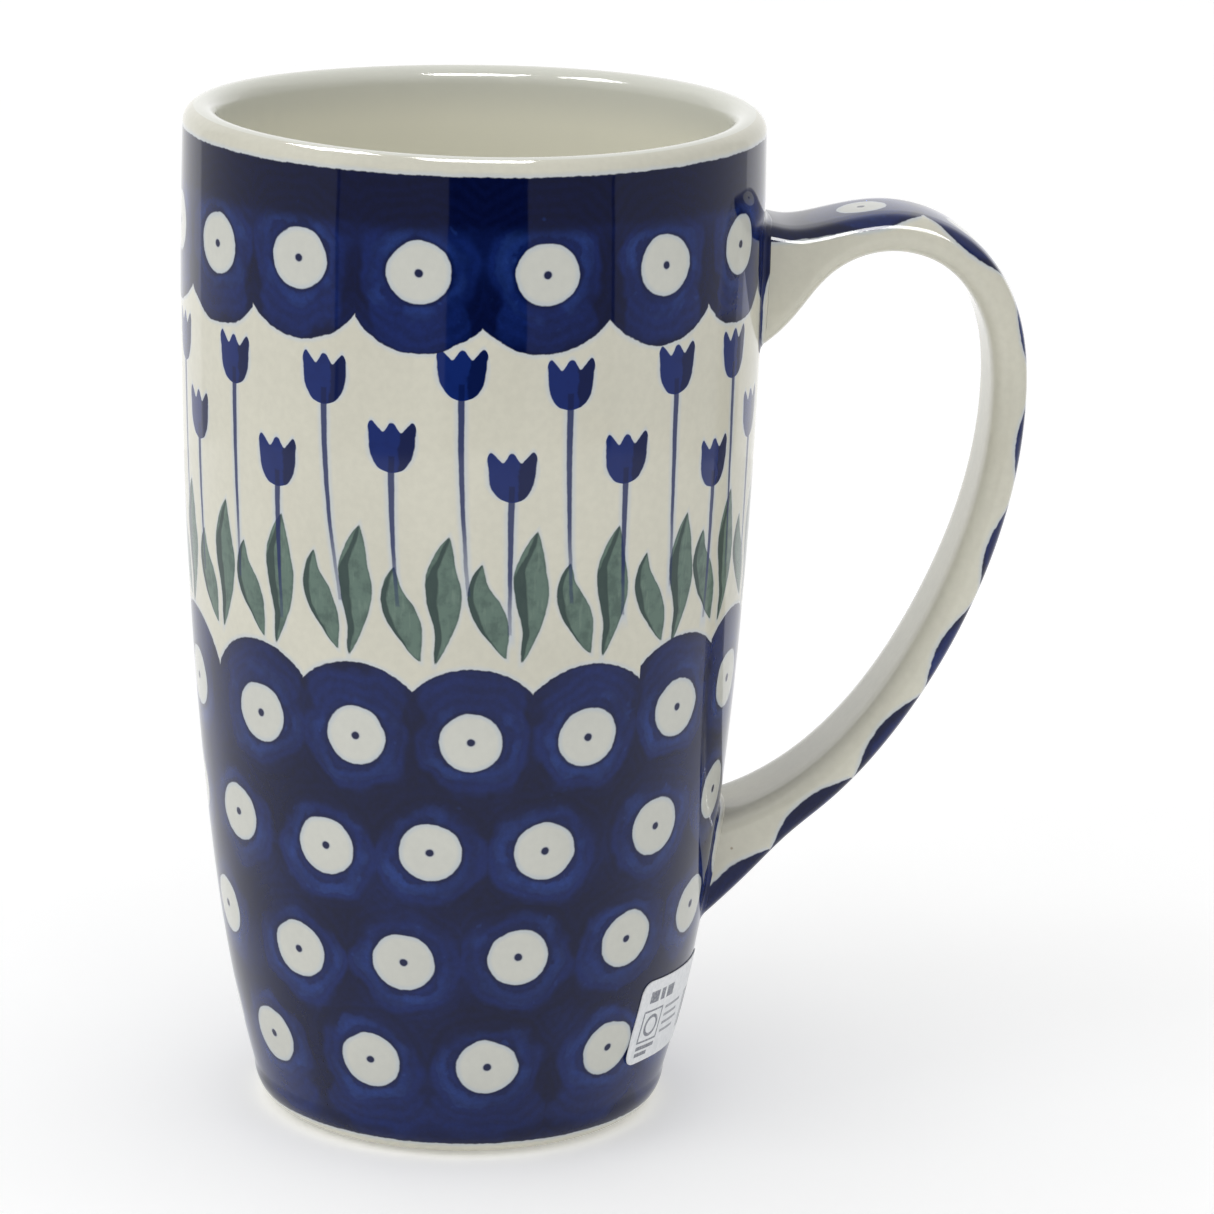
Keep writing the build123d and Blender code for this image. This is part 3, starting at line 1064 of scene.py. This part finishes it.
def label_paint():
    """White label stock printed with a generic ring in a box and plain bars."""
    material, tree, shader, where = new_material("Printed label")
    along, up = uv_runs(tree, "label_runs")
    x, y = along * LABEL["long"] - LABEL["long"] / 2, up * LABEL["tall"] - LABEL["tall"] / 2

    def bar(left, right, bottom, top):
        return (x - left).low(x.under(right)).low(y - bottom).low(y.under(top)).step(-0.06, 0.06)

    def box(left, right, bottom, top, line):
        outer = bar(left, right, bottom, top)
        inner = bar(left + line, right - line, bottom + line, top - line)
        return outer - inner

    ring = length(x + 7.0, y + 0.8)
    marks = box(-9.5, -4.5, -3.3, 1.7, 0.30).high(ring.under(1.7).low(ring - 1.2).step(-0.06, 0.06))
    for sides in LABEL_BARS:
        marks = marks.high(bar(*sides))
    for k in range(4):
        marks = marks.high(bar(-3.6, 2.0 - 0.9 * (k % 2), 0.9 - 1.25 * k, 1.35 - 1.25 * k) * 0.8)
    for k in range(14):
        marks = marks.high(bar(4.0 + 0.42 * k, 4.12 + 0.42 * k + 0.11 * (k % 3), -4.2, 1.6))
    fibre = noise(tree, where, 1500.0, 3.0, 0.6)
    paper = colour_mix(tree, fibre.step(0.3, 0.7), (0.76, 0.78, 0.80), (0.86, 0.87, 0.89))
    ink = noise(tree, where, 3000.0, 1.0).step(0.2, 0.6, 0.55, 0.9)
    colour = colour_mix(tree, marks * ink, paper, (0.10, 0.11, 0.15))
    tree.links.new(colour, shader.inputs["Base Color"])
    shader.inputs["Roughness"].default_value = 0.42
    relief(tree, shader, fibre.socket, 0.08, 0.0002)
    return material


# ---------------------------------------------------------------------------
# The label, the stage and the operators
# ---------------------------------------------------------------------------

def label_point(a, b, proud):
    """A point on the label, a along and b up it from its middle, stuck to the wall: in metres."""
    tilt, turn = math.radians(LABEL["tilt"]), math.radians(LABEL["turn"])
    along = a * math.cos(tilt) - b * math.sin(tilt)
    height = LABEL["height"] + a * math.sin(tilt) + b * math.cos(tilt)
    radius = float(wall_radius(height * MM)) + proud * MM
    turn += math.asin(along * MM / radius)
    return radius * math.sin(turn), -radius * math.cos(turn), height * MM


def build_label(paint):
    """A paper label that follows the wall, its loose corner lifting a little."""
    columns, rows = 48, 25
    half_long, half_tall, corner = LABEL["long"] / 2, LABEL["tall"] / 2, LABEL["corner"]
    edge = np.sin(np.linspace(-math.pi / 2, math.pi / 2, rows))
    flat, verts = [], []
    for b in edge * half_tall:
        inset = max(0.0, abs(b) - (half_tall - corner))
        half = half_long - corner + math.sqrt(max(corner ** 2 - inset ** 2, 0.0))
        flat.append([(a, b) for a in np.linspace(-half, half, columns)])
    for side in (0, 1):
        for line in flat:
            for a, b in line:
                lift = max(0.0, (-a - b) / (half_long + half_tall) - 0.72) * 1.1
                verts.append(label_point(a, b, 0.02 + LABEL["thick"] * side + lift))
    faces = []
    size = columns * rows
    for i in range(rows - 1):
        for j in range(columns - 1):
            n = i * columns + j
            faces.append((size + n, size + n + 1, size + n + columns + 1, size + n + columns))
            faces.append((n, n + columns, n + columns + 1, n + 1))
    border = list(range(columns)) + [i * columns + columns - 1 for i in range(1, rows)]
    border += [(rows - 1) * columns + j for j in range(columns - 2, -1, -1)]
    border += [i * columns for i in range(rows - 2, 0, -1)]
    for n, m in zip(border, border[1:] + border[:1]):
        faces.append((n, m, m + size, n + size))
    label = new_piece("stuck_label", verts, faces, "label_paper", "paper_label", paint)
    lay_runs(label, "label_runs",
             [(a / LABEL["long"] + 0.5, b / LABEL["tall"] + 0.5) for line in flat for a, b in line] * 2)


def build_camera(settings):
    """The camera, a little round towards the front's left and looking down on the lip."""
    data = bpy.data.cameras.new("Camera")
    data.lens = settings.lens
    data.sensor_width = 36.0
    data.clip_start = 0.05
    camera = bpy.data.objects.new("Camera", data)
    bpy.context.scene.collection.objects.link(camera)
    turn, distance = settings.camera_turn, settings.camera_distance
    place = Vector((-distance * math.sin(turn), -distance * math.cos(turn), settings.camera_height))
    camera.matrix_world = (
        Matrix.Translation(place)
        @ Matrix.Rotation(-(turn + settings.camera_aim), 4, "Z")
        @ Matrix.Rotation(math.pi / 2 - settings.camera_pitch, 4, "X")
        @ Matrix.Rotation(settings.camera_roll, 4, "Z"))
    bpy.context.scene.camera = camera


# The floor, in metres: the radii of the rings in its two parts, and how far it lies below the
# foot. It glows a little, like a light table.
FLOOR_PARTS = {"floor_near": (0.02, 0.10, 0.20, 0.30, 0.40), "floor_far": (0.40, 0.7, 1.5, 4.0, 12.0)}
FLOOR_GLOW = 0.22
FLOOR_DROP = 0.0002


def build_floor():
    """A white floor in two parts: only the inner one shows in the glaze."""
    material, tree, shader, place = new_material("White floor")
    tone = noise(tree, place, 9.0, 2.0)
    tree.links.new(colour_mix(tree, tone.step(0.3, 0.7), (0.90, 0.90, 0.90), (0.93, 0.93, 0.93)),
                   shader.inputs["Base Color"])
    shader.inputs["Roughness"].default_value = 0.9
    shader.inputs["Emission Color"].default_value = (1, 1, 1, 1)
    shader.inputs["Emission Strength"].default_value = FLOOR_GLOW
    around = 64
    for name, radii in FLOOR_PARTS.items():
        verts = [(r * math.cos(t), r * math.sin(t), -FLOOR_DROP)
                 for r in radii for t in np.linspace(0, 2 * math.pi, around, endpoint=False)]
        faces = [face[::-1] for face in ring_faces(len(radii), around)]
        if name == "floor_near":
            faces.append(tuple(range(around)))
        mesh = bpy.data.meshes.new(name)
        mesh.from_pydata(verts, [], faces)
        floor = bpy.data.objects.new(name, mesh)
        bpy.context.scene.collection.objects.link(floor)
        floor.data.materials.append(material)
        floor.visible_glossy = name == "floor_near"


# The brightness of the white tent's walls from each turn on, in degrees from the front towards
# the handle's side, with a dark gap at the front and dark seams; that of its roof; and that
# of the background behind the mug.
TENT_WALLS = [(-180, 1.15), (-139, 0.72), (-58.6, 0.16), (-57.0, 0.44), (-14.3, 0.004), (16.6, 0.44),
              (51.9, 0.12), (53.3, 0.70), (130, 1.15)]
TENT_ROOF = (1.12, 1.12, 1.12)
TENT_BEHIND = (0.94, 0.94, 0.94)


def build_tent(strength):
    """The white tent as the world's light. Its walls show in the glaze; the light that falls on
    the clay is softer, and fades towards the handle's side."""
    world = bpy.data.worlds.new("Tent")
    bpy.context.scene.world = world
    world.use_nodes = True
    tree = world.node_tree
    background = tree.nodes["Background"]
    x, y, z = axes(tree, tree.nodes.new("ShaderNodeTexCoord").outputs["Generated"])
    ramp = tree.nodes.new("ShaderNodeValToRGB")
    ramp.color_ramp.interpolation = "CONSTANT"
    stops = ramp.color_ramp.elements
    while len(stops) < len(TENT_WALLS):
        stops.new(0.5)
    for stop, (start, light) in zip(stops, TENT_WALLS):
        stop.position = start / 360 + 0.5
        stop.color = (light, light, light, 1)
    tree.links.new((turn_from_front(x, y) / 360 + 0.5).socket, ramp.inputs[0])
    walls = colour_mix(tree, z.step(0.42, 0.62), ramp.outputs["Color"], TENT_ROOF)
    fall = (x * 0.9 + y * 0.3).step(-0.9, 0.9, 0.74, 0.41) * z.step(0.45, 1.0, 0.86, 2.9)
    rays = tree.nodes.new("ShaderNodeLightPath").outputs
    soft = colour_mix(tree, fall, (0, 0, 0), (1.0, 1.0, 1.0))
    light = colour_mix(tree, rays["Is Diffuse Ray"], walls, soft)
    light = colour_mix(tree, rays["Is Camera Ray"], light, TENT_BEHIND)
    tree.links.new(light, background.inputs["Color"])
    background.inputs["Strength"].default_value = strength


# The lamps: place, what each points at, size across and deep in metres, share of
# the power, whether it lights the clay or only shows as a glint in the glaze, and
# the only piece that it falls on, if it isn't all of them.
LAMPS = [
    ((-0.75, -0.35, 0.85), (0.0, 0.0, 0.12), (0.5, 0.5), 0.6, "light", ""),
    ((0.000, -0.012, 0.220), (0.000, -0.012, 0.0), (0.038, 0.034), 0.060, "glint", ""),
    ((-0.043, 0.018, 0.220), (-0.043, 0.018, 0.0), (0.030, 0.034), 0.050, "glint", ""),
    ((0.25, -0.71, 0.55), (0.065, -0.008, 0.127), (0.50, 0.28), 6.5, "glint", "strap_handle"),
]


def build_lamps(power):
    """A soft lamp from the left, and small ones for the glints on the lip and the handle."""
    for number, (place, target, size, share, kind, piece) in enumerate(LAMPS):
        data = bpy.data.lights.new(f"Lamp {number + 1}", "AREA")
        data.shape = "RECTANGLE"
        data.size, data.size_y = size
        data.energy = power * share
        lamp = bpy.data.objects.new(f"Lamp {number + 1}", data)
        lamp.location = place
        lamp.rotation_euler = (Vector(target) - Vector(place)).to_track_quat("-Z", "Y").to_euler()
        lamp.visible_camera = False
        lamp.visible_glossy = kind == "glint"
        lamp.visible_diffuse = kind == "light"
        bpy.context.scene.collection.objects.link(lamp)
        if piece in bpy.data.objects:
            lit = bpy.data.collections.new(f"Lit by lamp {number + 1}")
            lit.objects.link(bpy.data.objects[piece])
            lamp.light_linking.receiver_collection = lit


PAINTS = {}


def paint(name):
    """One of the mug's paints, made the first time that it is asked for."""
    colours = bpy.context.scene.mug_paint
    makers = {"outside": outside_paint, "inside": inside_paint, "foot": foot_paint,
              "handle": handle_paint, "joint": joint_paint}
    if name not in PAINTS:
        PAINTS[name] = makers[name](colours)
    return PAINTS[name]


class MUG_OT_cup(bpy.types.Operator):
    """Make the turned cup and paint it"""

    bl_idname = "mug.cup"
    bl_label = "Cup"

    def execute(self, context):
        build_cup(context.scene.mug_cup, [paint(name) for name in ("inside", "outside", "foot")])
        return {"FINISHED"}


class MUG_OT_handle(bpy.types.Operator):
    """Make the strap handle and paint its outer face"""

    bl_idname = "mug.handle"
    bl_label = "Handle"

    def execute(self, context):
        build_handle(paint("handle"))
        return {"FINISHED"}


class MUG_OT_joints(bpy.types.Operator):
    """Make the slip bead around each root of the handle"""

    bl_idname = "mug.joints"
    bl_label = "Slip joints"

    def execute(self, context):
        bead = context.scene.mug_cup.bead
        build_bead("upper_bead", "upper_slip_joint", True, bead, paint("joint"))
        build_bead("lower_bead", "lower_slip_joint", False, bead, paint("joint"))
        return {"FINISHED"}


class MUG_OT_label(bpy.types.Operator):
    """Make the small paper label near the foot"""

    bl_idname = "mug.label"
    bl_label = "Label"

    def execute(self, context):
        build_label(label_paint())
        return {"FINISHED"}


class MUG_OT_stage(bpy.types.Operator):
    """Make the camera, the floor, the tent and the lamps"""

    bl_idname = "mug.stage"
    bl_label = "Stage"

    def execute(self, context):
        settings = context.scene.mug_stage
        build_camera(settings)
        build_floor()
        build_tent(settings.tent_light)
        build_lamps(settings.lamp_power)
        context.scene.view_settings.view_transform = "Standard"
        context.scene.view_settings.look = "None"
        return {"FINISHED"}


class MUG_PT_panel(bpy.types.Panel):
    """Lists the mug's settings and operators"""

    bl_idname = "MUG_PT_panel"
    bl_label = "Stoneware mug"
    bl_space_type = "VIEW_3D"
    bl_region_type = "UI"
    bl_category = "Mug"

    def draw(self, context):
        scene = context.scene
        for settings in (scene.mug_cup, scene.mug_paint, scene.mug_stage):
            box = self.layout.box()
            for name in settings.bl_rna.properties.keys():
                if name not in ("rna_type", "name"):
                    box.prop(settings, name)
        for operator in OPERATORS:
            self.layout.operator(operator.bl_idname)


OPERATORS = (MUG_OT_cup, MUG_OT_handle, MUG_OT_joints, MUG_OT_label, MUG_OT_stage)
SETTINGS = {"mug_cup": MugCupSettings, "mug_paint": MugPaintSettings, "mug_stage": MugStageSettings}
CLASSES = (*SETTINGS.values(), *OPERATORS, MUG_PT_panel)


def register():
    for each in CLASSES:
        bpy.utils.register_class(each)
    for name, settings in SETTINGS.items():
        setattr(bpy.types.Scene, name, PointerProperty(type=settings))


def unregister():
    for name in SETTINGS:
        delattr(bpy.types.Scene, name)
    for each in reversed(CLASSES):
        bpy.utils.unregister_class(each)


def main():
    register()
    bpy.ops.mug.cup()
    bpy.ops.mug.handle()
    bpy.ops.mug.joints()
    bpy.ops.mug.label()
    # The stage comes last, because one of its lamps falls only on the handle.
    bpy.ops.mug.stage()
    bpy.context.view_layer.update()


if __name__ == "__main__":
    main()
